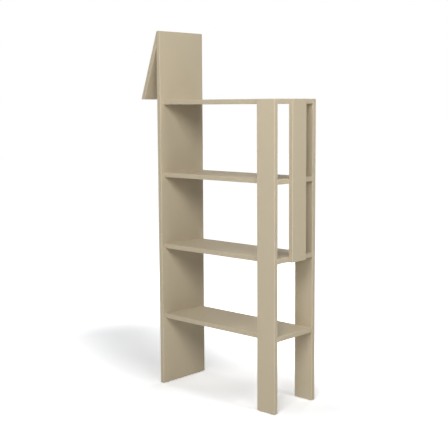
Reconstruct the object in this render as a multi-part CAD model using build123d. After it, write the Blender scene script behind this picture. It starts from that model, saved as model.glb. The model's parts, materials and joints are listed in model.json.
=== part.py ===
from build123d import *
import os
from math import atan2, cos, sin, sqrt, tan

# Giraffe-shaped bookshelf in painted board.
#
# The tall panel on the left is the neck, and the slanted flap at its top is the head. The shelves
# run from the neck to a pair of legs, one in front of them and one behind, and the slat on their
# right-hand ends is the tail. Cam locks, cam bolts and dowels hold the boards together.
#
# X runs along the shelves, from the neck to the tail, Y runs from the front to the back, and Z is
# up. The origin is on the floor, under the middle of the overall width and depth.

# Boards
board = 18.0  # thickness of every board
width = 600.0  # outer face of the neck to the right-hand ends of the shelves
depth = 240.0  # front face of the front leg to the back face of the back leg
bay_height = 268.0  # clear height of each bay, and of the neck above the top shelf
shelf_names = ("top_shelf", "upper_shelf", "lower_shelf", "bottom_shelf")
leg_width = 83.0
tail_width = 80.0
tailed_shelves = 3  # shelves that the tail crosses, counted from the top
edge_radius = 2.0  # eased edges of the boards

# Head flap
flap_reach = 92.0  # outer face of the neck to the tip of the flap's toe
flap_start = 3.0  # top of the neck down to where the flap's outer face begins
flap_toe_rise = 3.0  # top shelf up to the flap's level lower end

# Cam lock, a short drum let into the underside of a shelf
cam_radius = 7.4
cam_setback = 34.0  # joint face to the axis of the drum
cam_wall = 2.2  # round wall that the bolt's head pulls on
cam_web = 1.2  # closed end above the bolt's head
cam_recess = 0.3  # lower end of the drum above the shelf's underside
cam_drive_length = 8.0  # cross recess for the screwdriver
cam_drive_width = 1.6
cam_drive_depth = 2.5
cam_fit = 0.1  # radial clearance of the drum in its hole

# Cam bolt, screwed into the face of the neck, a leg or the tail
thread_length = 11.0
thread_radius = 2.8
thread_core_radius = 2.0
thread_pitch = 2.2
collar_radius = 3.7
collar_length = 2.0
shank_radius = 3.0
bolt_neck_radius = 1.9
bolt_neck_length = 6.0
bolt_head_radius = 3.4
bolt_head_length = 2.8
head_clearance = 0.3  # round the bolt's neck and head inside the drum
bore_clearance = 0.3  # round the collar in the shelf's edge
thread_clearance = 0.05

# Dowels
dowel_radius = 4.0
dowel_length = 30.0
dowel_in_face = 11.0  # length of a dowel in the face of a board, the rest is in an edge
flap_dowel_radius = 3.0
flap_dowel_length = 20.0
flap_dowel_in_face = 10.0
flap_dowel_rise = 11.0  # lower end of the flap's joint up to its dowels
dowel_chamfer = 0.8
dowel_fit = 0.05
dowel_end_gap = 0.5

# Places of the fittings along each joint
neck_cam_inset = 38.0  # front and back edges of a shelf to the cams at the neck
neck_dowel_inset = 72.0
leg_cam_inset = 26.0  # inner edge of a leg to its cam bolts
leg_dowel_inset = 24.0  # outer edge of a leg to its dowels
tail_fitting_inset = 20.0  # front edge of the tail to its cam bolts, back edge to its dowels
flap_dowel_inset = 40.0  # front and back edges of the flap to its outer dowels

# Floor glides, nailed into the lower ends of the neck and the legs
glide_radius = 8.0
glide_thickness = 2.0
glide_chamfer = 0.6
glide_pin_radius = 1.5
glide_pin_length = 12.0
glide_pin_fit = 0.05
neck_glide_inset = 30.0
leg_glide_inset = 18.0

# Faces of the boards
overall_width = flap_reach + width + board
neck_outer = flap_reach - overall_width / 2
neck_inner = neck_outer + board
shelf_end = neck_outer + width
leg_inner_edge = shelf_end - leg_width
front = -depth / 2
back = depth / 2
shelf_front = front + board
shelf_back = back - board
storey = bay_height + board
shelf_count = len(shelf_names)
shelf_tops = [storey * (shelf_count - number) for number in range(shelf_count)]
shelf_middles = [top - board / 2 for top in shelf_tops]
neck_top = shelf_tops[0] + bay_height
tail_bottom = shelf_tops[tailed_shelves - 1] - board
tail_front = -tail_width / 2
tail_back = tail_width / 2

# The flap's outline leans out by flap_slant from the upright
flap_high = neck_top - flap_start
flap_low = shelf_tops[0] + flap_toe_rise
flap_slant = atan2(flap_reach, flap_high - flap_low)
flap_joint_low = flap_high - board / sin(flap_slant)

# Shapes inside the drum that follow the bolt
pocket_radius = cam_radius - cam_wall
pocket_half_height = bolt_head_radius + head_clearance
cam_top = pocket_half_height + cam_web
head_start = cam_setback - sqrt(pocket_radius**2 - bolt_head_radius**2) + head_clearance
bore_radius = collar_radius + bore_clearance


def eased_board(x_range, y_range, z_range, square_at=None):
    """A board between three pairs of faces, its edges eased except round the end at square_at."""
    lows, highs = zip(x_range, y_range, z_range)
    size = [high - low for low, high in zip(lows, highs)]
    centre = [(low + high) / 2 for low, high in zip(lows, highs)]
    piece = Pos(*centre) * Box(*size)
    edges = piece.edges()
    if square_at is not None:
        edges = edges.filter_by(lambda edge: abs(edge.center().X - square_at) > edge_radius)
    return fillet(edges, edge_radius)


def flap_board():
    """The head flap: a slanted board, cut upright against the neck and level at its lower end."""
    outline = Polyline(
        (neck_outer, flap_high),
        (neck_outer - flap_reach, flap_low),
        (neck_outer - flap_reach + board / cos(flap_slant), flap_low),
        (neck_outer, flap_joint_low),
        close=True,
    )
    profile = Plane.XZ * make_face(outline)
    piece = extrude(profile, amount=depth / 2, both=True)
    edges = piece.edges().filter_by(lambda edge: edge.center().X < neck_outer - edge_radius)
    return fillet(edges, edge_radius)


def rod(radius, start, end, chamfer_size=0):
    """A round rod along X from start to end."""
    middle = (start + end) / 2
    piece = Pos(middle, 0, 0) * Rot(0, 90, 0) * Cylinder(radius, end - start)
    if chamfer_size:
        piece = chamfer(piece.edges().filter_by(GeomType.CIRCLE), chamfer_size)
    return piece


def cam_bolt():
    """The bolt along X: its thread is behind the joint face at X = 0, and its head is in front."""
    turns = int(thread_length / thread_pitch)
    profile = [(-thread_length, 0)]
    for turn in range(turns):
        start = -turns * thread_pitch + turn * thread_pitch
        profile.append((start, thread_core_radius))
        profile.append((start + thread_pitch / 2, thread_radius))
    profile.append((0, thread_core_radius))
    profile.append((0, collar_radius))
    profile.append((collar_length, collar_radius))
    profile.append((collar_length, shank_radius))
    profile.append((head_start - bolt_neck_length, shank_radius))
    profile.append((head_start - bolt_neck_length, bolt_neck_radius))
    profile.append((head_start, bolt_neck_radius))
    profile.append((head_start, bolt_head_radius))
    profile.append((head_start + bolt_head_length, bolt_head_radius))
    profile.append((head_start + bolt_head_length, 0))
    return revolve(make_face(Polyline(*profile, close=True)), Axis.X)


def cam_lock():
    """The drum of a cam lock, turned home on its bolt, with Z = 0 at the middle of the shelf."""
    cam_bottom = cam_recess - board / 2
    drum = Pos(cam_setback, 0, (cam_bottom + cam_top) / 2) * Cylinder(cam_radius, cam_top - cam_bottom)
    pocket = Pos(cam_setback, 0, 0) * Cylinder(pocket_radius, 2 * pocket_half_height)
    entry = rod(pocket_half_height, cam_setback, cam_setback + 2 * cam_radius)
    slot_half = bolt_neck_radius + head_clearance
    slot = Pos(cam_setback, cam_radius - slot_half, 0) * Box(4 * cam_radius, 2 * cam_radius, 2 * slot_half)
    drive_place = Pos(cam_setback, 0, cam_bottom + cam_drive_depth / 2)
    drive = Box(cam_drive_length, cam_drive_width, cam_drive_depth)
    drive += Box(cam_drive_width, cam_drive_length, cam_drive_depth)
    return drum - pocket - entry - slot - drive_place * drive


def cam_drilling():
    """Everything that is drilled for one cam lock and its bolt, in both boards."""
    hole_height = board / 2 + cam_top
    drum_hole = Pos(cam_setback, 0, cam_top - hole_height / 2) * Cylinder(cam_radius + cam_fit, hole_height)
    bore = rod(bore_radius, 0, cam_setback)
    pilot = rod(thread_radius + thread_clearance, -thread_length - dowel_end_gap, 0)
    return drum_hole + bore + pilot


def dowel(radius, length, in_face):
    """A dowel along X, with in_face of its length behind the joint face at X = 0."""
    return rod(radius - dowel_fit, -in_face, length - in_face, dowel_chamfer)


def dowel_drilling(radius, length, in_face):
    """The holes for a dowel in both boards."""
    return rod(radius, -in_face - dowel_end_gap, length - in_face + dowel_end_gap)


def floor_glide():
    """A nailed glide, standing on the floor at Z = 0."""
    head = Pos(0, 0, glide_thickness / 2) * Cylinder(glide_radius, glide_thickness)
    head = chamfer(head.edges().group_by(Axis.Z)[0], glide_chamfer)
    pin = Pos(0, 0, glide_thickness + glide_pin_length / 2) * Cylinder(glide_pin_radius, glide_pin_length)
    return head + pin


def drill(piece, tool, places):
    """The piece with the tool's shape taken out of it at each place."""
    return piece - [place * tool for place in places]


def group(piece, places):
    """One copy of the piece at each place."""
    return Compound([place * piece for place in places])


def joint_places(x, y, heights, turn):
    """Joint frames at one spot of every shelf, with X turned to point into the shelf."""
    return [Location((x, y, z), (0, 0, turn)) for z in heights]


# Joint frames, all at the middle of a shelf's thickness
into_from_neck = 0
into_from_front = 90
into_from_back = -90
into_from_tail = 180
tailed_middles = shelf_middles[:tailed_shelves]

neck_cam_places = [
    *joint_places(neck_inner, shelf_front + neck_cam_inset, shelf_middles, into_from_neck),
    *joint_places(neck_inner, shelf_back - neck_cam_inset, shelf_middles, into_from_neck),
]
neck_dowel_places = [
    *joint_places(neck_inner, shelf_front + neck_dowel_inset, shelf_middles, into_from_neck),
    *joint_places(neck_inner, shelf_back - neck_dowel_inset, shelf_middles, into_from_neck),
]
leg_cam_x = leg_inner_edge + leg_cam_inset
leg_dowel_x = shelf_end - leg_dowel_inset
front_leg_cam_places = joint_places(leg_cam_x, shelf_front, shelf_middles, into_from_front)
front_leg_dowel_places = joint_places(leg_dowel_x, shelf_front, shelf_middles, into_from_front)
back_leg_cam_places = joint_places(leg_cam_x, shelf_back, shelf_middles, into_from_back)
back_leg_dowel_places = joint_places(leg_dowel_x, shelf_back, shelf_middles, into_from_back)
tail_cam_y = tail_front + tail_fitting_inset
tail_dowel_y = tail_back - tail_fitting_inset
tail_cam_places = joint_places(shelf_end, tail_cam_y, tailed_middles, into_from_tail)
tail_dowel_places = joint_places(shelf_end, tail_dowel_y, tailed_middles, into_from_tail)

# The flap's dowels run level from the neck's outer face into the thick end of the flap
flap_dowel_z = flap_joint_low + flap_dowel_rise
flap_dowel_ys = (front + flap_dowel_inset, 0, back - flap_dowel_inset)
flap_dowel_places = [Location((neck_outer, y, flap_dowel_z), (0, 0, 180)) for y in flap_dowel_ys]

# Glides stand under the middle of each board's thickness
neck_glide_x = (neck_outer + neck_inner) / 2
neck_glide_places = [Pos(neck_glide_x, y, 0) for y in (front + neck_glide_inset, back - neck_glide_inset)]
leg_glide_xs = (leg_inner_edge + leg_glide_inset, shelf_end - leg_glide_inset)
front_glide_places = [Pos(x, (front + shelf_front) / 2, 0) for x in leg_glide_xs]
back_glide_places = [Pos(x, (back + shelf_back) / 2, 0) for x in leg_glide_xs]

# Tools that drill the boards
cam_tool = cam_drilling()
dowel_tool = dowel_drilling(dowel_radius, dowel_length, dowel_in_face)
flap_dowel_tool = dowel_drilling(flap_dowel_radius, flap_dowel_length, flap_dowel_in_face)
pin_hole_depth = glide_thickness + glide_pin_length + dowel_end_gap
pin_tool = Pos(0, 0, pin_hole_depth / 2) * Cylinder(glide_pin_radius + glide_pin_fit, pin_hole_depth)

# Neck panel
neck_panel = eased_board((neck_outer, neck_inner), (front, back), (glide_thickness, neck_top))
neck_panel = drill(neck_panel, cam_tool, neck_cam_places)
neck_panel = drill(neck_panel, dowel_tool, neck_dowel_places)
neck_panel = drill(neck_panel, flap_dowel_tool, flap_dowel_places)
neck_panel = drill(neck_panel, pin_tool, neck_glide_places)

# Head flap
head_flap = drill(flap_board(), flap_dowel_tool, flap_dowel_places)

# Front and back legs
leg_x_range = (leg_inner_edge, shelf_end)
leg_z_range = (glide_thickness, shelf_tops[0])
front_leg = eased_board(leg_x_range, (front, shelf_front), leg_z_range)
front_leg = drill(front_leg, cam_tool, front_leg_cam_places)
front_leg = drill(front_leg, dowel_tool, front_leg_dowel_places)
front_leg = drill(front_leg, pin_tool, front_glide_places)
back_leg = eased_board(leg_x_range, (shelf_back, back), leg_z_range)
back_leg = drill(back_leg, cam_tool, back_leg_cam_places)
back_leg = drill(back_leg, dowel_tool, back_leg_dowel_places)
back_leg = drill(back_leg, pin_tool, back_glide_places)

# Tail slat
tail_slat = eased_board((shelf_end, shelf_end + board), (tail_front, tail_back), (tail_bottom, shelf_tops[0]))
tail_slat = drill(tail_slat, cam_tool, tail_cam_places)
tail_slat = drill(tail_slat, dowel_tool, tail_dowel_places)

# Shelves, square where they meet the neck
cam_places = neck_cam_places + front_leg_cam_places + back_leg_cam_places + tail_cam_places
dowel_places = neck_dowel_places + front_leg_dowel_places + back_leg_dowel_places + tail_dowel_places
shelves = {}
for name, top, middle in zip(shelf_names, shelf_tops, shelf_middles):
    shelf = eased_board((neck_inner, shelf_end), (shelf_front, shelf_back), (top - board, top), neck_inner)
    shelf = drill(shelf, cam_tool, [place for place in cam_places if place.position.Z == middle])
    shelf = drill(shelf, dowel_tool, [place for place in dowel_places if place.position.Z == middle])
    shelves[name] = shelf

# Fittings, one node for the like pieces of each joint
shelf_dowel = dowel(dowel_radius, dowel_length, dowel_in_face)
flap_dowel = dowel(flap_dowel_radius, flap_dowel_length, flap_dowel_in_face)
nodes = {
    "neck_panel": neck_panel,
    "head_flap": head_flap,
    **shelves,
    "front_leg": front_leg,
    "back_leg": back_leg,
    "tail_slat": tail_slat,
    "neck_cam_locks": group(cam_lock(), neck_cam_places),
    "neck_cam_bolts": group(cam_bolt(), neck_cam_places),
    "neck_dowels": group(shelf_dowel, neck_dowel_places),
    "front_leg_cam_locks": group(cam_lock(), front_leg_cam_places),
    "front_leg_cam_bolts": group(cam_bolt(), front_leg_cam_places),
    "front_leg_dowels": group(shelf_dowel, front_leg_dowel_places),
    "back_leg_cam_locks": group(cam_lock(), back_leg_cam_places),
    "back_leg_cam_bolts": group(cam_bolt(), back_leg_cam_places),
    "back_leg_dowels": group(shelf_dowel, back_leg_dowel_places),
    "tail_cam_locks": group(cam_lock(), tail_cam_places),
    "tail_cam_bolts": group(cam_bolt(), tail_cam_places),
    "tail_dowels": group(shelf_dowel, tail_dowel_places),
    "head_dowels": group(flap_dowel, flap_dowel_places),
    "floor_glides": group(floor_glide(), neck_glide_places + front_glide_places + back_glide_places),
}

os.makedirs("parts", exist_ok=True)
for node, shape in nodes.items():
    export_step(shape, f"parts/{node}.step")
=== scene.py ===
import json
from math import atan2, cos, pi, radians, sin

import bpy
from bpy.props import FloatProperty, FloatVectorProperty, IntProperty, PointerProperty
from mathutils import Matrix, Vector


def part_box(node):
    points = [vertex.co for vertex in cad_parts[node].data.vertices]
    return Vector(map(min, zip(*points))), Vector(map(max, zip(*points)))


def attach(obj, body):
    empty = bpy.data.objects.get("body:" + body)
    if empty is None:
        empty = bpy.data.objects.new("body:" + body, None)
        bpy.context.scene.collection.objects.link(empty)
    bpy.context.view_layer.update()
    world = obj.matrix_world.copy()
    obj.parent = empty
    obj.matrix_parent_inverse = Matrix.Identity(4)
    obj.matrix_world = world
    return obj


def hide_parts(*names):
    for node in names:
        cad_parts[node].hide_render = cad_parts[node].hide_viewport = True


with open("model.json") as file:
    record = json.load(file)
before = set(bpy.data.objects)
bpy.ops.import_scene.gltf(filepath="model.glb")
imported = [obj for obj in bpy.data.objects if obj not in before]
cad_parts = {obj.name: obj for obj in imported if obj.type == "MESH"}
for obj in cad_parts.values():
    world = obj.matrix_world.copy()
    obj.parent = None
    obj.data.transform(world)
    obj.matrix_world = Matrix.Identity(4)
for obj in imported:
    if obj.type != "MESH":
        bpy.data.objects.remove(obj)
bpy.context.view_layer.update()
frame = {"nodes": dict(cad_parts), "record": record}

# Giraffe-shaped bookshelf: the finish of its painted boards, its fittings and its stage.
#
# X runs along the shelves, from the neck on the left to the tail on the right, Y runs from the
# front to the back, and Z is up. The origin is on the floor.

bl_info = {
    "name": "Giraffe Bookshelf",
    "version": (1, 0, 0),
    "blender": (4, 5, 0),
    "location": "View3D > Sidebar > Bookshelf",
    "description": "Paints a giraffe-shaped bookshelf, makes its fittings and sets its stage",
    "category": "Object",
}

mm = 0.001


def slot_colour(slot):
    """The base colour that the record gives one of its material slots."""
    materials = frame["record"]["materials"]
    return next(entry["base_color"] for entry in materials if entry["slot"] == slot)


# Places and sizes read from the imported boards
neck_low, neck_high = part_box("neck_panel")
flap_low, flap_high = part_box("head_flap")
top_shelf_low, top_shelf_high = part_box("top_shelf")
upper_shelf_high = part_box("upper_shelf")[1]
front_leg_low, front_leg_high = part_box("front_leg")
back_leg_low, back_leg_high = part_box("back_leg")
board = top_shelf_high.z - top_shelf_low.z
storey = top_shelf_high.z - upper_shelf_high.z
top_shelf_middle = (top_shelf_low.z + top_shelf_high.z) / 2

# Values that several pieces share
sharp_angle = radians(32)
weld_distance = 0.002 * mm
pocket_radius = 5.2 * mm
black = (0, 0, 0, 1)
white = (1, 1, 1, 1)


# Node trees


class Wire:
    """What comes out of a node. A sum written on it adds Math nodes to its tree."""

    def __init__(self, bench, socket):
        self.bench = bench
        self.socket = socket

    def __add__(self, other):
        return self.bench.maths("ADD", self, other)

    __radd__ = __add__

    def __sub__(self, other):
        return self.bench.maths("SUBTRACT", self, other)

    def __rsub__(self, other):
        return self.bench.maths("SUBTRACT", other, self)

    def __mul__(self, other):
        return self.bench.maths("MULTIPLY", self, other)

    __rmul__ = __mul__

    def __truediv__(self, other):
        return self.bench.maths("DIVIDE", self, other)

    def __rtruediv__(self, other):
        return self.bench.maths("DIVIDE", other, self)

    def __lt__(self, other):
        return self.bench.maths("LESS_THAN", self, other)

    def __gt__(self, other):
        return self.bench.maths("GREATER_THAN", self, other)

    def __neg__(self):
        return self * -1

    def __abs__(self):
        return self.bench.maths("ABSOLUTE", self)

    def floor(self):
        return self.bench.maths("FLOOR", self)

    def least(self, other):
        return self.bench.maths("MINIMUM", self, other)

    def most(self, other):
        return self.bench.maths("MAXIMUM", self, other)


class Bench:
    """A node tree that is being made, for a finish, a shape or the room."""

    column_step = 190
    row_step = 210

    def __init__(self, tree):
        self.tree = tree
        self.rows_used = {}

    @staticmethod
    def find(sockets, key):
        """A socket by its number, or by its identifier or name."""
        if isinstance(key, int):
            return sockets[key]
        return next(socket for socket in sockets if key in (socket.identifier, socket.name))

    def node(self, kind, settings=None, inputs=None, output=0):
        """Adds a node, sets its settings and then its sockets, and returns one of its outputs."""
        made = self.tree.nodes.new(kind)
        for name, value in (settings or {}).items():
            if name == "choices":
                while len(made.index_switch_items) < value:
                    made.index_switch_items.new()
            else:
                setattr(made, name, value)
        column = 0
        for key, value in (inputs or {}).items():
            socket = self.find(made.inputs, key)
            for single in value if isinstance(value, list) else [value]:
                if isinstance(single, Wire):
                    self.tree.links.new(single.socket, socket)
                    column = max(column, round(single.socket.node.location.x / self.column_step) + 1)
                else:
                    socket.default_value = single
        row = self.rows_used.get(column, 0)
        self.rows_used[column] = row + 1
        made.location = (column * self.column_step, -row * self.row_step)
        return Wire(self, self.find(made.outputs, output)) if made.outputs else made

    def maths(self, operation, *values):
        return self.node("ShaderNodeMath", {"operation": operation}, dict(enumerate(values)))

    def vector_maths(self, operation, *values, output=0):
        settings = {"operation": operation}
        return self.node("ShaderNodeVectorMath", settings, dict(enumerate(values)), output)

    def join(self, x, y, z):
        """A vector from its three parts."""
        return self.node("ShaderNodeCombineXYZ", inputs={"X": x, "Y": y, "Z": z})


class Finish(Bench):
    """A material whose pattern is worked out from Object coordinates."""

    def __init__(self, name):
        self.material = bpy.data.materials.new(name)
        self.material.use_nodes = True
        super().__init__(self.material.node_tree)
        self.tree.nodes.clear()
        self.position = self.node("ShaderNodeTexCoord", output="Object")

    def turned(self, place=(0, 0, 0), turn=(0, 0, 0), stretch=(1, 1, 1)):
        """Object coordinates centred on a place, turned and stretched."""
        sockets = {"Vector": self.position, "Location": place, "Rotation": turn, "Scale": stretch}
        return self.node("ShaderNodeMapping", {"vector_type": "TEXTURE"}, sockets)

    def noise(self, vector, grain, detail=2.0, roughness=0.5):
        """Soft noise from 0 to 1, with grain the size of its spots in metres."""
        sockets = {"Vector": vector, "Scale": 1 / grain, "Detail": detail, "Roughness": roughness}
        return self.node("ShaderNodeTexNoise", {"noise_dimensions": "3D"}, sockets)

    def fade(self, value, start, end):
        """Runs smoothly from 0 where value is at start to 1 where it is at end."""
        settings = {"interpolation_type": "SMOOTHSTEP", "clamp": True}
        sockets = {"Value": value, "From Min": start, "From Max": end}
        return self.node("ShaderNodeMapRange", settings, sockets)

    def mixed(self, factor, first, second):
        """From the first colour at a factor of 0 to the second at 1."""
        sockets = {"Factor_Float": factor, "A_Color": first, "B_Color": second}
        return self.node("ShaderNodeMix", {"data_type": "RGBA"}, sockets, "Result_Color")

    def bumped(self, height, depth):
        """A normal that follows a height, which is depth metres from its 0 to its 1."""
        sockets = {"Height": height, "Distance": depth, "Strength": 1.0}
        return self.node("ShaderNodeBump", inputs=sockets)

    def surface(self, **sockets):
        """Ends the tree in a Principled shader. Underscores stand for the spaces in socket names."""
        named = {name.replace("_", " "): value for name, value in sockets.items()}
        shader = self.node("ShaderNodeBsdfPrincipled", inputs=named)
        self.node("ShaderNodeOutputMaterial", inputs={"Surface": shader})
        return self.material


# Paint of the boards


def shade(colour, level):
    """A colour made lighter or darker, with its alpha."""
    return (*[min(1.0, part * level) for part in colour], 1.0)


def board_pairs(low, high):
    """The three pairs of faces of a board: their direction, their middle and half their distance."""
    directions = Matrix.Identity(3)
    return [
        (directions[axis], (low[axis] + high[axis]) / 2, (high[axis] - low[axis]) / 2)
        for axis in range(3)
    ]


def flap_pairs():
    """The same three pairs for the head flap, whose broad faces lean and whose lower end is level."""
    slant = atan2(flap_high.x - flap_low.x, flap_high.z - flap_low.z)
    across = Vector((cos(slant), 0, -sin(slant)))
    outer_face = across.dot(Vector((flap_high.x, 0, flap_high.z)))
    pairs = board_pairs(flap_low, flap_high)
    pairs[0] = (across, outer_face + board / 2, board / 2)
    return pairs


def paint_board(name, pairs):
    """Gives one board its satin paint: even and faintly clouded, with a painted highlight along the
    arrises.
    """
    paint = bpy.context.scene.bookshelf_paint
    pattern_spread = (1.7, 2.3, 1.3)
    break_size = paint.highlight_width * 6
    stipple_size = paint.peel_size / 5
    highlight_lightness = 1.25
    cloud_dullness = 0.12
    edge_dullness = 0.05
    highlight_gloss = 0.06
    peel_share = 0.7
    stipple_share = 0.3
    specular_level = 0.15

    finish = Finish("paint_on_" + name)
    distances = []
    for direction, middle, half in pairs:
        across = finish.vector_maths("DOT_PRODUCT", finish.position, direction, output="Value")
        distances.append(half - abs(across - middle))
    thickness = min(pairs, key=lambda pair: pair[2])
    from_broad_face = distances.pop(pairs.index(thickness))
    nearer = from_broad_face.least(distances[0])
    farther = from_broad_face.most(distances[0])
    to_arris = nearer.most(farther.least(distances[1]))

    # The pattern is centred elsewhere on each board, so that no two boards are alike
    centre = tuple(pair[1] * spread for pair, spread in zip(pairs, pattern_spread))
    on_board = finish.turned(place=centre)
    clouds = finish.noise(on_board, paint.cloud_size, detail=3.0)
    breaks = finish.noise(on_board, break_size, detail=3.0, roughness=0.6)
    peel = finish.noise(on_board, paint.peel_size, roughness=0.45)
    stipple = finish.noise(on_board, stipple_size, detail=1.0)
    # Painted highlight: a lighter line along the arrises, for light caught on their rounded edges; the
    # lacquer is also a little glossier there
    arris_highlight = 1 - finish.fade(to_arris + (breaks - 0.5) * paint.highlight_width, 0.0, paint.highlight_width)
    on_edge_face = finish.fade(from_broad_face, start=0.4 * mm, end=1.6 * mm)

    lighter = shade(paint.colour, 1 + paint.cloud_strength)
    darker = shade(paint.colour, 1 - paint.cloud_strength)
    colour = finish.mixed(finish.fade(clouds, start=0.3, end=0.7), darker, lighter)
    # The painted highlight makes the colour lighter along the arrises
    colour = finish.mixed(arris_highlight * paint.highlight_strength, colour, shade(paint.colour, highlight_lightness))
    roughness = paint.roughness + (clouds - 0.5) * cloud_dullness
    roughness = roughness + on_edge_face * edge_dullness - arris_highlight * highlight_gloss
    height = peel * peel_share + stipple * (stipple_share + stipple_share * on_edge_face)
    painted = finish.surface(
        Base_Color=colour,
        Roughness=roughness,
        Normal=finish.bumped(height, paint.peel_height),
        Specular_IOR_Level=specular_level,
    )
    node = frame["nodes"][name]
    node.data.materials.clear()
    node.data.materials.append(painted)


# Shapes of the fittings


class Shape(Bench):
    """A Geometry Nodes tree with named inputs, whose result becomes a plain mesh."""

    kinds = {int: "NodeSocketInt", float: "NodeSocketFloat", Vector: "NodeSocketVector"}

    def __init__(self, name, values):
        super().__init__(bpy.data.node_groups.new(name, "GeometryNodeTree"))
        self.tree.is_modifier = True
        self.tree.interface.new_socket("Shape", in_out="OUTPUT", socket_type="NodeSocketGeometry")
        for key, value in values.items():
            kind = self.kinds.get(type(value), "NodeSocketMaterial")
            self.tree.interface.new_socket(self.spoken(key), in_out="INPUT", socket_type=kind)
        group = self.tree.nodes.new("NodeGroupInput")
        self.sizes = {key: Wire(self, self.find(group.outputs, self.spoken(key))) for key in values}

    @staticmethod
    def spoken(key):
        """The name that a value's socket shows."""
        return key.replace("_", " ").capitalize()

    def pick(self, *keys):
        """The named inputs, to write sums with."""
        return [self.sizes[key] for key in keys]

    def counted(self, row_length):
        """The row of each point or copy, and its number in that row, both from 0."""
        index = self.node("GeometryNodeInputIndex")
        row = ((index + 0.5) / row_length).floor()
        return row, index - row * row_length

    def revolved(self, rows, segments, rule, along_x=False):
        """A closed solid turned about Z or X. The rule gives a row's radius and height at an angle."""
        around = segments + 1
        sheet = self.node("GeometryNodeMeshGrid", inputs={"Vertices X": rows, "Vertices Y": around})
        row, step = self.counted(around)
        angle = step * (2 * pi / segments)
        radius, height = rule(row, angle)
        first = radius * self.maths("COSINE", angle)
        second = radius * self.maths("SINE", angle)
        place = self.join(height, first, second) if along_x else self.join(first, second, height)
        bent = self.node("GeometryNodeSetPosition", inputs={"Geometry": sheet, "Position": place})
        sockets = {"Geometry": bent, "Distance": weld_distance}
        return self.node("GeometryNodeMergeByDistance", inputs=sockets)

    def chosen(self, row, choices):
        """The choice whose number is row."""
        settings = {"data_type": "FLOAT", "choices": len(choices)}
        return self.node("GeometryNodeIndexSwitch", settings, dict(enumerate((row, *choices))))

    def turned(self, outline, segments):
        """A closed solid turned from its outline: each row's radius and height, from the high end."""
        radii, heights = zip(*outline)

        def rule(row, angle):
            return self.chosen(row, radii), self.chosen(row, heights)

        return self.revolved(len(outline), segments, rule)

    def moved(self, mesh, place, turn=(0, 0, 0)):
        sockets = {"Geometry": mesh, "Translation": place, "Rotation": turn}
        return self.node("GeometryNodeTransform", inputs=sockets)

    def block(self, size, place):
        """A rectangular block with its middle at a place, to cut with."""
        return self.moved(self.node("GeometryNodeMeshCube", inputs={"Size": size}), place)

    def rod(self, radius, length, place, turn=(0, 0, 0), sides=40):
        """A round rod with its middle at a place, to cut with."""
        sockets = {"Vertices": sides, "Radius": radius, "Depth": length}
        return self.moved(self.node("GeometryNodeMeshCylinder", inputs=sockets), place, turn)

    def cut(self, mesh, tools):
        settings = {"operation": "DIFFERENCE", "solver": "EXACT"}
        sockets = {"Mesh 1": mesh, "Mesh 2": tools}
        return self.node("GeometryNodeMeshBoolean", settings, sockets)

    def together(self, *parts):
        return self.node("GeometryNodeJoinGeometry", inputs={"Geometry": list(parts)})

    def smooth(self, mesh):
        """Smooth shading that stops at the sharper edges."""
        all_smooth = {"Geometry": mesh, "Shade Smooth": True}
        even = self.node("GeometryNodeSetShadeSmooth", {"domain": "FACE"}, all_smooth)
        angle = self.node("GeometryNodeInputMeshEdgeAngle", output="Unsigned Angle")
        sockets = {"Geometry": even, "Shade Smooth": angle < sharp_angle}
        return self.node("GeometryNodeSetShadeSmooth", {"domain": "EDGE"}, sockets)

    def on_points(self, mesh, points, turn=0.0):
        rotation = self.node("FunctionNodeEulerToRotation", inputs={0: self.join(0.0, 0.0, turn)})
        sockets = {"Points": points, "Instance": mesh, "Rotation": rotation}
        return self.node("GeometryNodeInstanceOnPoints", inputs=sockets)

    def at_joints(self, mesh):
        """A copy at each joint: one for each shelf from the top down, in rows from the front back."""
        place, turn, rows, spacing, shelves, step = self.pick(*Joint.keys)
        row, shelf = self.counted(shelves)
        offset = self.join(0.0, row * spacing, -(shelf * step))
        sockets = {"Count": rows * shelves, "Position": self.vector_maths("ADD", place, offset)}
        return self.on_points(mesh, self.node("GeometryNodePoints", inputs=sockets), turn)

    def end(self, copies):
        """Ends the tree with real meshes in their material."""
        real = self.node("GeometryNodeRealizeInstances", inputs={"Geometry": copies})
        sockets = {"Geometry": real, "Material": self.sizes["material"]}
        self.node("NodeGroupOutput", inputs={0: self.node("GeometryNodeSetMaterial", inputs=sockets)})

    def make(self, name, slot, replaced, values):
        """A piece made from these values, riding on the bookshelf in place of CAD nodes."""
        piece = bpy.data.objects.new(name, bpy.data.meshes.new(name))
        bpy.context.collection.objects.link(piece)
        modifier = piece.modifiers.new("Shape", "NODES")
        modifier.node_group = self.tree
        keys = {self.spoken(key): key for key in values}
        for item in self.tree.interface.items_tree:
            if item.in_out == "INPUT":
                modifier[item.identifier] = values[keys[item.name]]
        evaluated = piece.evaluated_get(bpy.context.evaluated_depsgraph_get())
        mesh = bpy.data.meshes.new_from_object(evaluated)
        mesh.materials.pop(index=0)
        mesh.name = name
        piece.modifiers.clear()
        piece.data = mesh
        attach(piece, "root")
        if replaced:
            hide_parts(replaced)


class Joint:
    """Where the shelves, or the head flap, meet another board."""

    keys = ("joint_place", "joint_turn", "rows", "row_spacing", "shelves", "storey")

    def __init__(self, name, turn, face, shelves=4, rows=1):
        self.name = name
        self.turn = radians(turn)
        self.face = face
        self.shelves = shelves
        self.rows = rows

    def stand(self, fitting, radius):
        """Where fittings of this radius stand, read from the CAD node that holds them."""
        low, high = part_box(f"{self.name}_{fitting}")
        place = (low + high) / 2
        spacing = 0.0
        if self.rows > 1:
            place.y = low.y + radius
            spacing = (high.y - radius - place.y) / (self.rows - 1)
        if self.shelves > 1:
            place.z = top_shelf_middle
        if self.name in ("front_leg", "back_leg"):
            place.y = self.face
        else:
            place.x = self.face
        return dict(zip(self.keys, (place, self.turn, self.rows, spacing, self.shelves, storey)))


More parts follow.
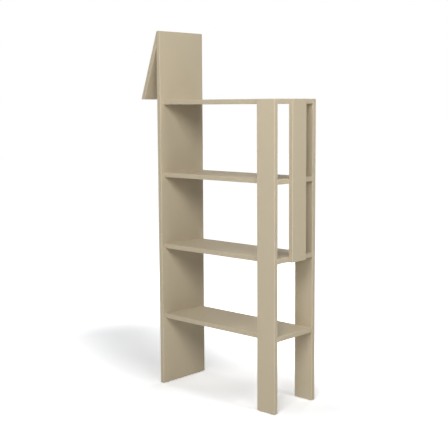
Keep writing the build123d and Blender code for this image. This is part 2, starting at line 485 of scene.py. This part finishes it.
def cam_lock_shape(values):
    """A die-cast drum: a raised rim, a cross recess and an arrow below, and a slot for its bolt."""
    shape = Shape("cam_lock", values)
    radius, top, bottom, setback = shape.pick("drum_radius", "drum_top", "drum_bottom", "setback")
    pocket, pocket_half, slot_half = shape.pick(
        "pocket_radius", "pocket_half_height", "slot_half_width"
    )
    length, width, depth = shape.pick("drive_length", "drive_width", "drive_depth")
    rim, rim_height, ease = shape.pick("rim_width", "rim_height", "rim_ease")
    face = bottom + rim_height
    outline = [
        (0.0, top),
        (radius - ease, top),
        (radius, top - ease),
        (radius, bottom + ease),
        (radius - ease * 0.3, bottom + ease * 0.3),
        (radius - ease, bottom),
        (radius - rim, bottom),
        (radius - rim - rim_height, face),
        (0.0, face),
    ]
    drum = shape.turned(outline, segments=64)
    pocket_rod = shape.rod(pocket, pocket_half * 2, (0, 0, 0))
    entry_place = shape.join(radius, 0.0, 0.0)
    entry = shape.rod(pocket_half, radius * 2, entry_place, turn=(0, pi / 2, 0))
    slot_size = shape.join(radius * 4, radius * 2, slot_half * 2)
    slot = shape.block(slot_size, shape.join(0.0, radius - slot_half, 0.0))
    drive_place = shape.join(0.0, 0.0, face)
    wing_height = depth * 2
    wing = shape.block(shape.join(length, width, wing_height), drive_place)
    other_wing = shape.block(shape.join(width, length, wing_height), drive_place)
    hub_radius = width * 1.35
    hub = shape.rod(hub_radius, wing_height, drive_place, sides=24)
    drum = shape.cut(drum, [pocket_rod, entry, slot, wing, other_wing, hub])
    arrow_size = rim * 1.5
    arrow_height = rim_height * 1.6
    arrow_place = shape.join(rim + arrow_size - radius + rim_height * 2, 0.0, face)
    arrow = shape.rod(arrow_size, arrow_height, arrow_place, turn=(0, 0, pi), sides=3)
    drum = shape.smooth(shape.together(drum, arrow))
    shape.end(shape.at_joints(shape.moved(drum, shape.join(setback, 0.0, 0.0))))
    return shape


def cam_bolt_shape(values):
    """A screwed bolt along X: a thread behind the joint face, then a collar, a shank and a head."""
    shape = Shape("cam_bolt", values)
    thread_length, thread_radius, core, pitch = shape.pick(
        "thread_length", "thread_radius", "thread_core_radius", "thread_pitch"
    )
    collar, collar_length, shank = shape.pick("collar_radius", "collar_length", "shank_radius")
    neck, neck_length, head, head_start, head_length = shape.pick(
        "neck_radius", "neck_length", "head_radius", "head_start", "head_length"
    )
    ease = shape.sizes["bolt_ease"]
    outline = [
        (0.0, head_start + head_length),
        (head - ease * 2, head_start + head_length),
        (head, head_start + head_length - ease * 2),
        (head, head_start + ease),
        (head - ease, head_start),
        (neck, head_start),
        (neck, head_start - neck_length),
        (shank - ease, head_start - neck_length),
        (shank, head_start - neck_length - ease),
        (shank, collar_length),
        (collar - ease, collar_length),
        (collar, collar_length - ease),
        (collar, ease),
        (collar - ease, 0.0),
        (core, 0.0),
    ]
    radii, heights = zip(*outline)
    last_row = len(outline) - 1
    thread_rows = 44
    point_taper = 14
    ridge_fade_at_point = 6
    ridge_fade_at_collar = 8

    def rule(row, angle):
        below = (row - last_row) / thread_rows
        height = -(below * thread_length)
        ridge = shape.maths("PINGPONG", height / pitch + angle / (2 * pi), 0.5) * 2
        at_point = (1 - below) * ridge_fade_at_point
        at_collar = below * ridge_fade_at_collar
        rod = core * ((1 - below) * point_taper).least(1.0)
        thread = rod + ridge * at_point.least(at_collar).least(1.0) * (thread_radius - core)
        on_thread = row > last_row + 0.5
        on_outline = 1 - on_thread
        outline_row = row.least(last_row)
        radius = shape.chosen(outline_row, radii) * on_outline + thread * on_thread
        place = shape.chosen(outline_row, heights) * on_outline + height * on_thread
        return radius, place

    rows = len(outline) + thread_rows
    bolt = shape.smooth(shape.revolved(rows, segments=28, rule=rule, along_x=True))
    shape.end(shape.at_joints(bolt))
    return shape


def dowel_shape(values):
    """A fluted dowel along X, with eased ends."""
    shape = Shape("dowel", values)
    radius, length, in_face, ease = shape.pick("dowel_radius", "dowel_length", "in_face", "end_ease")
    flutes, flute_depth = shape.pick("flutes", "flute_depth")
    far = length - in_face
    outline = [(0.0, far), (radius - ease, far), (radius, far - ease)]
    outline += [(radius, ease - in_face), (radius - ease, -in_face), (0.0, -in_face)]
    radii, heights = zip(*outline)

    def rule(row, angle):
        plain = shape.chosen(row, radii)
        groove = shape.maths("COSINE", angle * flutes).most(0.0) * flute_depth
        on_side = (plain > radius - ease * 0.5) * 1.0
        return plain - groove * on_side, shape.chosen(row, heights)

    dowel = shape.smooth(shape.revolved(len(outline), segments=96, rule=rule, along_x=True))
    shape.end(shape.at_joints(dowel))
    return shape


def glide_points(shape):
    """Two points under the neck and two under each leg."""
    index = shape.node("GeometryNodeInputIndex")
    pairs = []
    for board_name in ("neck", "front_leg", "back_leg"):
        first, step = shape.pick(board_name + "_glide", board_name + "_glide_step")
        along = shape.vector_maths("MULTIPLY_ADD", step, shape.join(index, index, index), first)
        pairs.append(shape.node("GeometryNodePoints", inputs={"Count": 2, "Position": along}))
    return shape.together(*pairs)


def glide_shape(values):
    """A round nylon glide with a domed edge and a sunk seat for its nail."""
    shape = Shape("floor_glide", values)
    radius, thickness, ease, hole, seat, seat_depth = shape.pick(
        "glide_radius", "glide_thickness", "glide_ease", "nail_radius", "seat_radius", "seat_depth"
    )
    outline = [
        (hole, thickness),
        (radius - ease * 0.3, thickness),
        (radius, thickness - ease * 0.3),
        (radius, ease),
        (radius - ease * 0.3, ease * 0.3),
        (radius - ease, 0.0),
        (seat + ease * 0.4, 0.0),
        (seat, ease * 0.3),
        (seat, seat_depth),
        (hole, seat_depth),
        (hole, thickness),
    ]
    glide = shape.smooth(shape.turned(outline, segments=56))
    shape.end(shape.on_points(glide, glide_points(shape)))
    return shape


def nail_shape(values):
    """The nail through a glide: a shallow domed head in the seat and a pointed pin in the board."""
    shape = Shape("glide_nail", values)
    hole, head, seat_depth, head_height, tip = shape.pick(
        "nail_radius", "head_radius", "seat_depth", "head_height", "nail_tip"
    )
    outline = [
        (0.0, tip),
        (hole * 0.55, tip - hole),
        (hole, tip - hole * 2.4),
        (hole, seat_depth),
        (head, seat_depth),
        (head, seat_depth - head_height * 0.35),
        (head * 0.8, seat_depth - head_height * 0.75),
        (head * 0.45, seat_depth - head_height * 0.95),
        (0.0, seat_depth - head_height),
    ]
    nail = shape.smooth(shape.turned(outline, segments=32))
    shape.end(shape.on_points(nail, glide_points(shape)))
    return shape


# Bare materials of the fittings


def metal(name, colour, roughness, grain, depth, turn=0.0, stretch=(1, 1, 1)):
    """Bare metal with a fine grain and faint dull patches."""
    patch_size = 5 * mm
    patch_dullness = 0.16
    grain_dullness = 0.15
    bright = shade(colour, 1.06)
    dimmed = shade(colour, 0.8)

    finish = Finish(name)
    along_grain = finish.turned(turn=(0, 0, turn), stretch=stretch)
    fine = finish.noise(along_grain, grain, detail=3.0, roughness=0.6)
    dull = finish.fade(finish.noise(finish.position, patch_size), start=0.35, end=0.7)
    return finish.surface(
        Base_Color=finish.mixed(dull, bright, dimmed),
        Metallic=1.0,
        Roughness=dull * patch_dullness + (fine - 0.5) * grain_dullness + roughness,
        Normal=finish.bumped(fine, depth),
    )


def beech(name, colour, turn):
    """Bare beech with its grain along the dowel and short dark flecks."""
    ring_size = 1.6 * mm
    ring_stretch = (14, 1, 1)
    fleck_size = 0.35 * mm
    fleck_stretch = (5, 1, 1)
    fleck_strength = 0.7
    wood_roughness = 0.55
    ring_dullness = 0.1
    fleck_dullness = 0.12
    ring_share = 0.7
    fleck_share = 0.3
    grain_depth = 0.08 * mm
    pale_wood = shade(colour, 1.12)
    dark_wood = shade(colour, 0.82)
    fleck_colour = shade(colour, 0.5)

    finish = Finish(name)
    along_rings = finish.turned(turn=(0, 0, turn), stretch=ring_stretch)
    along_flecks = finish.turned(turn=(0, 0, turn), stretch=fleck_stretch)
    rings = finish.noise(along_rings, ring_size, detail=4.0, roughness=0.55)
    flecks = finish.noise(along_flecks, fleck_size, detail=1.0)
    fleck = finish.fade(flecks, start=0.62, end=0.72)
    wood = finish.mixed(finish.fade(rings, start=0.3, end=0.7), pale_wood, dark_wood)
    return finish.surface(
        Base_Color=finish.mixed(fleck * fleck_strength, wood, fleck_colour),
        Roughness=fleck * fleck_dullness + rings * ring_dullness + wood_roughness,
        Normal=finish.bumped(rings * ring_share + flecks * fleck_share, grain_depth),
    )


def nylon(name, colour):
    """Moulded nylon, faintly mottled, with a scuffed grain."""
    mottle_size = 3 * mm
    scuff_size = 0.4 * mm
    scuff_depth = 0.02 * mm
    scuff_dullness = 0.3
    nylon_roughness = 0.3
    light_nylon = shade(colour, 1.05)
    dark_nylon = shade(colour, 0.9)

    finish = Finish(name)
    patches = finish.noise(finish.position, mottle_size, detail=3.0)
    mottle = finish.fade(patches, start=0.3, end=0.7)
    scuff = finish.noise(finish.position, scuff_size, detail=3.0, roughness=0.7)
    return finish.surface(
        Base_Color=finish.mixed(mottle, light_nylon, dark_nylon),
        Roughness=scuff * scuff_dullness + nylon_roughness,
        Normal=finish.bumped(scuff, scuff_depth),
    )


# Settings


def length_property(name, description, default):
    """A length that is written in millimetres and kept in metres."""
    return FloatProperty(
        name=name, description=description, unit="LENGTH", min=0.0, precision=5, default=default * mm
    )


def share_property(name, description, default):
    """A share from 0 to 1."""
    return FloatProperty(
        name=name, description=description, subtype="FACTOR", min=0.0, max=1.0, default=default
    )


def colour_property(name, description, default):
    """A colour from 0 to 1 for each of red, green and blue."""
    return FloatVectorProperty(
        name=name, description=description, subtype="COLOR", size=3, min=0.0, max=1.0, default=default
    )


def place_property(name, description, default):
    """A place in metres."""
    return FloatVectorProperty(
        name=name, description=description, subtype="TRANSLATION", size=3, default=default
    )


def power_property(name, description, default):
    """The power of a lamp in watts."""
    return FloatProperty(name=name, description=description, unit="POWER", min=0.0, default=default)


class BoardPaint(bpy.types.PropertyGroup):
    """The paint on all boards."""

    colour: colour_property("Lacquer", "Colour of the lacquer on the boards", (0.517, 0.445, 0.322))
    roughness: share_property("Roughness", "How matt the lacquer is, 0 for gloss and 1 for chalk", 0.6)
    cloud_size: length_property("Cloud size", "Width of the faint clouds in the lacquer", 90.0)
    cloud_strength: share_property("Cloud strength", "How much lighter and darker the clouds are", 0.01)
    peel_size: length_property("Orange peel size", "Width of the bumps that spraying leaves", 3.0)
    peel_height: length_property("Orange peel height", "Height of the bumps that spraying leaves", 0.02)
    # Painted highlight along the arrises: its width and how light it is
    highlight_width: length_property("Highlight width", "Width of the lighter line along the arrises", 2.5)
    highlight_strength: share_property("Highlight strength", "How light the line along the arrises is", 0.4)


class FittingSettings(bpy.types.PropertyGroup):
    """The cam locks, cam bolts, dowels and floor glides."""

    drum_radius: length_property("Cam radius", "Radius of a cam lock's drum", 7.4)
    drum_recess: length_property("Cam recess", "From a shelf's underside up to a cam lock", 0.3)
    setback: length_property("Cam setback", "From the joint face to the axis of a cam lock", 34.0)
    thread_pitch: length_property("Thread pitch", "One turn of a cam bolt's thread", 2.2)
    dowel_length: length_property("Dowel length", "Length of the dowels between the boards", 30.0)
    flute_depth: length_property("Flute depth", "Depth of the flutes along a dowel", 0.35)
    flutes: IntProperty(
        name="Flutes", description="Number of flutes round a dowel", min=3, max=24, default=16
    )
    glide_radius: length_property("Glide radius", "Radius of a floor glide", 8.0)
    zinc: colour_property("Cam colour", "Colour of the cam locks", slot_colour("cam_zinc"))
    steel: colour_property("Bolt colour", "Colour of the bolts and nails", slot_colour("bolt_steel"))
    beech: colour_property("Dowel colour", "Colour of the dowels", slot_colour("dowel_beech"))
    nylon: colour_property("Glide colour", "Colour of the floor glides", slot_colour("glide_nylon"))


class StageSettings(bpy.types.PropertyGroup):
    """The camera, the lamps and the floor."""

    eye: place_property("Camera place", "Where the camera stands", (2.3844, -2.5995, 1.1202))
    lens: FloatProperty(
        name="Focal length",
        description="Focal length of the camera in millimetres, on a sensor 36 mm wide",
        unit="CAMERA",
        default=73.29,
    )
    front_power: power_property("Front lamp", "Power of the large softbox in front", 61.5)
    right_power: power_property("Right lamp", "Power of the softbox on the right", 23.5)
    low_power: power_property("Low lamp", "Power of the lower softbox on the front right", 25.5)
    left_power: power_property("Left lamp", "Power of the low softbox on the front left", 6.5)
    side_power: power_property("Side lamp", "Power of the low softbox on the left", 24.0)
    rear_power: power_property("Rear lamp", "Power of the low softbox behind", 26.0)
    room_light: share_property("Room light", "Strength of the even light from the room", 0.05)
    floor_glow: share_property("Floor glow", "How much whiter the floor near the bookshelf looks", 0.18)
    shade_foot: place_property("Shadow foot", "Start of the line under the shadow", (0.42, 0.04, 0))
    shade_bend: place_property("Shadow bend", "Bend of that line, under the neck", (-0.16, -0.09, 0))
    shade_tip: place_property("Shadow tip", "End of that line, left of the bookshelf", (-0.98, 0.29, 0))
    shade_width: length_property("Shadow width", "From that line to the plain white floor", 660.0)


# Steps that make the bookshelf


class BOOKSHELF_OT_paint_neck_and_head(bpy.types.Operator):
    """Paints the neck panel and the head flap"""

    bl_idname = "bookshelf.paint_neck_and_head"
    bl_label = "Paint Neck and Head"

    def execute(self, context):
        paint_board("neck_panel", board_pairs(neck_low, neck_high))
        paint_board("head_flap", flap_pairs())
        return {"FINISHED"}


class BOOKSHELF_OT_paint_shelves(bpy.types.Operator):
    """Paints the four shelves"""

    bl_idname = "bookshelf.paint_shelves"
    bl_label = "Paint Shelves"

    def execute(self, context):
        for name in ("top_shelf", "upper_shelf", "lower_shelf", "bottom_shelf"):
            paint_board(name, board_pairs(*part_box(name)))
        return {"FINISHED"}


class BOOKSHELF_OT_paint_legs_and_tail(bpy.types.Operator):
    """Paints the front leg, the back leg and the tail slat"""

    bl_idname = "bookshelf.paint_legs_and_tail"
    bl_label = "Paint Legs and Tail"

    def execute(self, context):
        for name in ("front_leg", "back_leg", "tail_slat"):
            paint_board(name, board_pairs(*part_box(name)))
        return {"FINISHED"}


class BOOKSHELF_OT_fit_cam_locks(bpy.types.Operator):
    """Makes the cam locks under the shelves"""

    bl_idname = "bookshelf.fit_cam_locks"
    bl_label = "Fit Cam Locks"

    def execute(self, context):
        fittings = context.scene.bookshelf_fittings
        cast_zinc = metal(
            "cast_zinc", fittings.zinc, roughness=0.42, grain=0.5 * mm, depth=0.03 * mm
        )
        drum = {
            "drum_radius": fittings.drum_radius,
            "drum_top": 4.9 * mm,
            "drum_bottom": fittings.drum_recess - board / 2,
            "setback": fittings.setback,
            "pocket_radius": pocket_radius,
            "pocket_half_height": 3.7 * mm,
            "slot_half_width": 2.2 * mm,
            "drive_length": 7.0 * mm,
            "drive_width": 1.5 * mm,
            "drive_depth": 2.2 * mm,
            "rim_width": 0.9 * mm,
            "rim_height": 0.3 * mm,
            "rim_ease": 0.4 * mm,
            "material": cast_zinc,
        }
        shape = None
        for joint in shelf_joints:
            values = {**joint.stand("cam_locks", fittings.drum_radius), **drum}
            shape = shape or cam_lock_shape(values)
            shape.make(f"cam_locks_at_{joint.name}", "cam_zinc", f"{joint.name}_cam_locks", values)
        return {"FINISHED"}


class BOOKSHELF_OT_fit_cam_bolts(bpy.types.Operator):
    """Makes the cam bolts in the neck, the legs and the tail"""

    bl_idname = "bookshelf.fit_cam_bolts"
    bl_label = "Fit Cam Bolts"

    def execute(self, context):
        fittings = context.scene.bookshelf_fittings
        collar_radius = 3.7 * mm
        head_radius = 3.4 * mm
        head_clearance = 0.3 * mm
        pocket_depth = (pocket_radius**2 - head_radius**2) ** 0.5
        bolt = {
            "thread_length": 11.0 * mm,
            "thread_radius": 2.8 * mm,
            "thread_core_radius": 2.0 * mm,
            "thread_pitch": fittings.thread_pitch,
            "collar_radius": collar_radius,
            "collar_length": 2.0 * mm,
            "shank_radius": 3.0 * mm,
            "neck_radius": 1.9 * mm,
            "neck_length": 6.0 * mm,
            "head_radius": head_radius,
            "head_start": fittings.setback - pocket_depth + head_clearance,
            "head_length": 2.8 * mm,
            "bolt_ease": 0.3 * mm,
        }
        shape = None
        for joint in shelf_joints:
            plated = metal(
                f"plated_steel_at_{joint.name}",
                fittings.steel,
                roughness=0.28,
                grain=0.15 * mm,
                depth=0.01 * mm,
                turn=joint.turn,
                stretch=(1, 12, 12),
            )
            values = {**joint.stand("cam_bolts", collar_radius), **bolt, "material": plated}
            shape = shape or cam_bolt_shape(values)
            shape.make(f"cam_bolts_at_{joint.name}", "bolt_steel", f"{joint.name}_cam_bolts", values)
        return {"FINISHED"}


class BOOKSHELF_OT_fit_dowels(bpy.types.Operator):
    """Makes the dowels between the boards"""

    bl_idname = "bookshelf.fit_dowels"
    bl_label = "Fit Dowels"

    def execute(self, context):
        fittings = context.scene.bookshelf_fittings
        shelf_dowel = {
            "dowel_radius": 3.95 * mm,
            "dowel_length": fittings.dowel_length,
            "in_face": 11.0 * mm,
        }
        head_dowel = {
            "dowel_radius": 2.95 * mm,
            "dowel_length": 20.0 * mm,
            "in_face": 10.0 * mm,
        }
        shape = None
        for joint in (*shelf_joints, head_joint):
            dowel = {
                **(head_dowel if joint is head_joint else shelf_dowel),
                "end_ease": 0.8 * mm,
                "flutes": fittings.flutes,
                "flute_depth": fittings.flute_depth,
                "material": beech(f"beech_at_{joint.name}", fittings.beech, joint.turn),
            }
            values = {**joint.stand("dowels", dowel["dowel_radius"]), **dowel}
            shape = shape or dowel_shape(values)
            shape.make(f"dowels_at_{joint.name}", "dowel_beech", f"{joint.name}_dowels", values)
        return {"FINISHED"}


class BOOKSHELF_OT_fit_floor_glides(bpy.types.Operator):
    """Makes the nailed glides under the neck and the legs"""

    bl_idname = "bookshelf.fit_floor_glides"
    bl_label = "Fit Floor Glides"

    def execute(self, context):
        fittings = context.scene.bookshelf_fittings
        nail_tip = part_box("floor_glides")[1].z
        neck_x = (neck_low.x + neck_high.x) / 2
        neck_inset = 30.0 * mm
        leg_inset = 18.0 * mm
        leg_step = front_leg_high.x - front_leg_low.x - 2 * leg_inset
        front_y = (front_leg_low.y + front_leg_high.y) / 2
        back_y = (back_leg_low.y + back_leg_high.y) / 2
        values = {
            "neck_glide": Vector((neck_x, neck_low.y + neck_inset, 0)),
            "neck_glide_step": Vector((0, neck_high.y - neck_low.y - 2 * neck_inset, 0)),
            "front_leg_glide": Vector((front_leg_low.x + leg_inset, front_y, 0)),
            "front_leg_glide_step": Vector((leg_step, 0, 0)),
            "back_leg_glide": Vector((back_leg_low.x + leg_inset, back_y, 0)),
            "back_leg_glide_step": Vector((leg_step, 0, 0)),
            "nail_radius": 1.5 * mm,
            "seat_depth": 0.9 * mm,
        }
        glide = {
            "glide_radius": fittings.glide_radius,
            "glide_thickness": neck_low.z,
            "glide_ease": 0.7 * mm,
            "seat_radius": 3.2 * mm,
            "material": nylon("moulded_nylon", fittings.nylon),
        }
        nail = {
            "head_radius": 2.9 * mm,
            "head_height": 0.6 * mm,
            "nail_tip": nail_tip,
            "material": metal(
                "nail_steel", fittings.steel, roughness=0.32, grain=0.3 * mm, depth=0.02 * mm
            ),
        }
        glides, nails = {**values, **glide}, {**values, **nail}
        glide_shape(glides).make("nylon_glides", "glide_nylon", "floor_glides", glides)
        nail_shape(nails).make("glide_nails", "bolt_steel", None, nails)
        return {"FINISHED"}


# Stage


def softbox(name, bearing, rise, size, power):
    """A round soft lamp facing the bookshelf. Its bearing runs from 0 in front to 90 on the right."""
    middle_of_bookshelf = Vector((0, 0, 0.7))
    distance = 3.2
    lamp = bpy.data.lights.new(name, "AREA")
    lamp.shape = "DISK"
    lamp.size = size
    lamp.energy = power
    lamp_object = bpy.data.objects.new(name, lamp)
    bpy.context.collection.objects.link(lamp_object)
    turn = radians(bearing)
    level = cos(radians(rise))
    outwards = Vector((sin(turn) * level, -cos(turn) * level, sin(radians(rise))))
    lamp_object.location = middle_of_bookshelf + outwards * distance
    lamp_object.rotation_euler = outwards.to_track_quat("Z", "Y").to_euler()


def camera_at(eye, heading, pitch, roll, lens, shift):
    """The photograph's camera: heading is its turn to the left from looking along +Y."""
    camera = bpy.data.cameras.new("camera")
    camera.lens = lens
    camera.sensor_width = 36
    camera.shift_y = shift
    camera_object = bpy.data.objects.new("camera", camera)
    bpy.context.collection.objects.link(camera_object)
    upright = Matrix.Rotation(heading, 4, "Z") @ Matrix.Rotation(pi / 2 + pitch, 4, "X")
    camera_object.matrix_world = Matrix.Translation(eye) @ upright @ Matrix.Rotation(roll, 4, "Z")
    bpy.context.scene.camera = camera_object


def seen_directly(bench):
    """1 for what the camera sees, directly or in a reflection, and 0 for light on the object."""
    paths = bench.node("ShaderNodeLightPath").socket.node.outputs
    camera, glossy, transmission = (
        Wire(bench, paths[name]) for name in ("Is Camera Ray", "Is Glossy Ray", "Is Transmission Ray")
    )
    return camera.most(glossy).most(transmission)


def distance_to_line(finish, start, end):
    """The distance from a short straight line on the floor."""
    along = (end - start).normalized()
    from_start = finish.vector_maths("SUBTRACT", finish.position, start)
    travel = finish.vector_maths("DOT_PRODUCT", from_start, along, output="Value")
    travel = travel.most(0.0).least((end - start).length)
    nearest = finish.vector_maths("MULTIPLY_ADD", along, finish.join(travel, travel, travel), start)
    return finish.vector_maths("DISTANCE", finish.position, nearest, output="Value")


def white_floor(stage):
    """A pale floor that keeps the bookshelf's shadow near a line under it, with a painted glow that
    makes it as white as the room farther out.
    """
    mesh = bpy.data.meshes.new("floor")
    reach = 14.0
    corners = [(-reach, -reach, 0), (reach, -reach, 0), (reach, reach, 0), (-reach, reach, 0)]
    mesh.from_pydata(corners, [], [(0, 1, 2, 3)])
    floor = bpy.data.objects.new("floor", mesh)
    bpy.context.collection.objects.link(floor)

    lit_paint = (0.88, 0.88, 0.88, 1)
    seen_paint = (0.975, 0.985, 1, 1)
    finish = Finish("white_floor")
    seen = seen_directly(finish)
    foot, bend, tip = Vector(stage.shade_foot), Vector(stage.shade_bend), Vector(stage.shade_tip)
    out = distance_to_line(finish, foot, bend).least(distance_to_line(finish, bend, tip))
    far = finish.fade(out, 0.0, stage.shade_width)
    # Painted light: for the camera the floor glows, least along the line under the shadow and fully
    # white farther out, which whitens away the bookshelf's shadow there
    glow = (stage.floor_glow + far * (1 - stage.floor_glow)) * seen
    matt = finish.surface(
        Base_Color=finish.mixed(seen, lit_paint, seen_paint),
        Roughness=1.0,
        Specular_IOR_Level=0.0,
        Emission_Color=finish.mixed(glow, black, white),
        Emission_Strength=1.0,
    )
    mesh.materials.append(matt)


class BOOKSHELF_OT_set_stage(bpy.types.Operator):
    """Sets the white floor, the white room, the softboxes and the camera"""

    bl_idname = "bookshelf.set_stage"
    bl_label = "Set Stage"

    def execute(self, context):
        stage = context.scene.bookshelf_stage
        context.scene.view_settings.view_transform = "Standard"
        camera_at(
            stage.eye,
            heading=radians(42.739),
            pitch=radians(-6.278),
            roll=radians(-0.325),
            lens=stage.lens,
            shift=-0.04,
        )

        room = bpy.data.worlds.new("white_room")
        room.use_nodes = True
        context.scene.world = room
        room.node_tree.nodes.clear()
        bench = Bench(room.node_tree)
        strength = stage.room_light + seen_directly(bench) * (1 - stage.room_light)
        light = bench.node("ShaderNodeBackground", inputs={"Color": white, "Strength": strength})
        bench.node("ShaderNodeOutputWorld", inputs={"Surface": light})

        white_floor(stage)
        softbox("front_softbox", bearing=30, rise=35, size=1.4, power=stage.front_power)
        softbox("right_softbox", bearing=90, rise=40, size=0.9, power=stage.right_power)
        softbox("low_softbox", bearing=60, rise=22, size=1.4, power=stage.low_power)
        softbox("left_softbox", bearing=330, rise=10, size=1.4, power=stage.left_power)
        softbox("side_softbox", bearing=268, rise=10, size=1.4, power=stage.side_power)
        softbox("rear_softbox", bearing=193, rise=12, size=1.4, power=stage.rear_power)
        return {"FINISHED"}


# Panel and registration


class BOOKSHELF_PT_maker(bpy.types.Panel):
    """Lists the sizes, the colours and the steps that make the bookshelf"""

    bl_idname = "BOOKSHELF_PT_maker"
    bl_label = "Giraffe Bookshelf"
    bl_space_type = "VIEW_3D"
    bl_region_type = "UI"
    bl_category = "Bookshelf"

    def draw(self, context):
        scene = context.scene
        parts = (
            ("Paint", scene.bookshelf_paint),
            ("Fittings", scene.bookshelf_fittings),
            ("Stage", scene.bookshelf_stage),
        )
        for title, settings in parts:
            box = self.layout.box()
            box.label(text=title)
            for name in settings.__annotations__:
                box.prop(settings, name)
        for operator in operators:
            self.layout.operator(operator.bl_idname)


shelf_joints = (
    Joint("neck", 0, neck_high.x, rows=2),
    Joint("front_leg", 90, front_leg_high.y),
    Joint("back_leg", -90, back_leg_low.y),
    Joint("tail", 180, top_shelf_high.x, shelves=3),
)
head_joint = Joint("head", 180, neck_low.x, shelves=1, rows=3)
operators = (
    BOOKSHELF_OT_paint_neck_and_head,
    BOOKSHELF_OT_paint_shelves,
    BOOKSHELF_OT_paint_legs_and_tail,
    BOOKSHELF_OT_fit_cam_locks,
    BOOKSHELF_OT_fit_cam_bolts,
    BOOKSHELF_OT_fit_dowels,
    BOOKSHELF_OT_fit_floor_glides,
    BOOKSHELF_OT_set_stage,
)
groups = (BoardPaint, FittingSettings, StageSettings)


def register():
    for item in (*groups, *operators, BOOKSHELF_PT_maker):
        bpy.utils.register_class(item)
    bpy.types.Scene.bookshelf_paint = PointerProperty(type=BoardPaint)
    bpy.types.Scene.bookshelf_fittings = PointerProperty(type=FittingSettings)
    bpy.types.Scene.bookshelf_stage = PointerProperty(type=StageSettings)


def unregister():
    del bpy.types.Scene.bookshelf_stage
    del bpy.types.Scene.bookshelf_fittings
    del bpy.types.Scene.bookshelf_paint
    for item in (BOOKSHELF_PT_maker, *reversed(operators), *reversed(groups)):
        bpy.utils.unregister_class(item)


def main():
    register()
    for operator in operators:
        group, name = operator.bl_idname.split(".")
        getattr(getattr(bpy.ops, group), name)()


if __name__ == "__main__":
    main()
